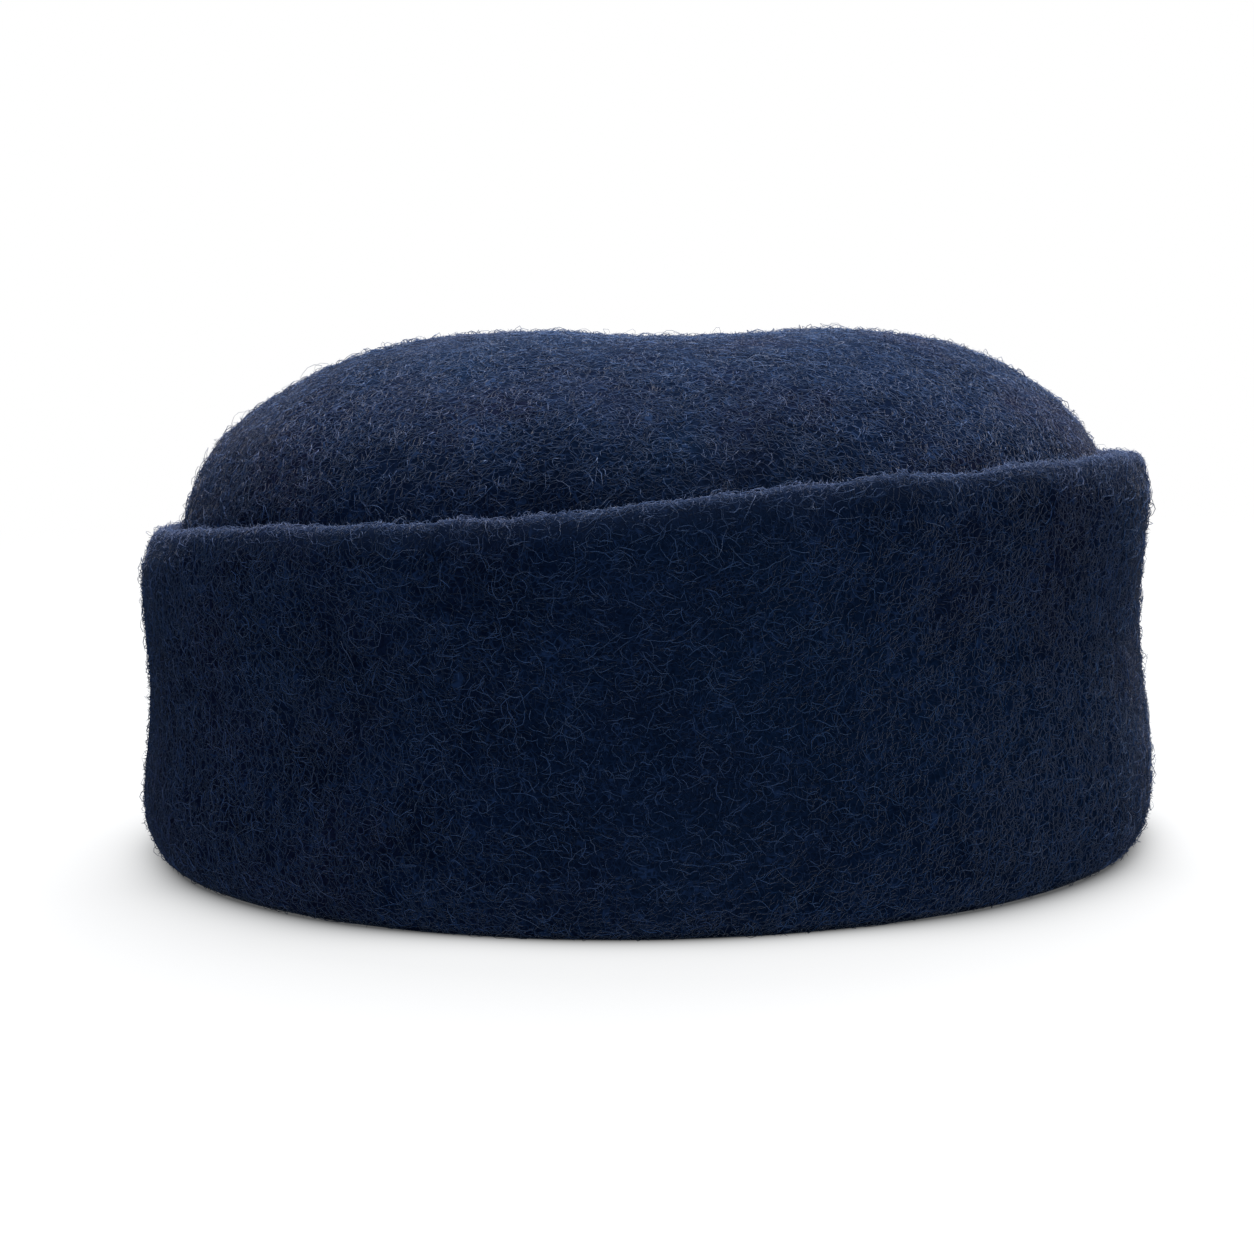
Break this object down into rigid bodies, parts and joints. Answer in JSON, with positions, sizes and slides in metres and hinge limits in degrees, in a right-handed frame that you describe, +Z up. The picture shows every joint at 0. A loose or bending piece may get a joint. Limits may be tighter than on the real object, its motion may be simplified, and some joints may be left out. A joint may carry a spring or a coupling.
{
  "type": "felt hat",
  "caption": "Seamless wool felt hat with a low soft crown and a tall turned-up cuff that stands higher at one end; one hollow felted body, open below.",
  "frame": {"origin": "centre of the hat's outline, at the flat ring on the bottom fold that it rests on", "axes": "+X along the head towards the end where the cuff stands higher, +Z up through the crown"},
  "size_m": [0.2216, 0.1916, 0.1103],
  "materials": {
    "felt": "thick navy wool felt, matte, with short curly surface fibres"
  },
  "bodies": {
    "root": {"felt_body": "felt"}
  },
  "joints": []
}
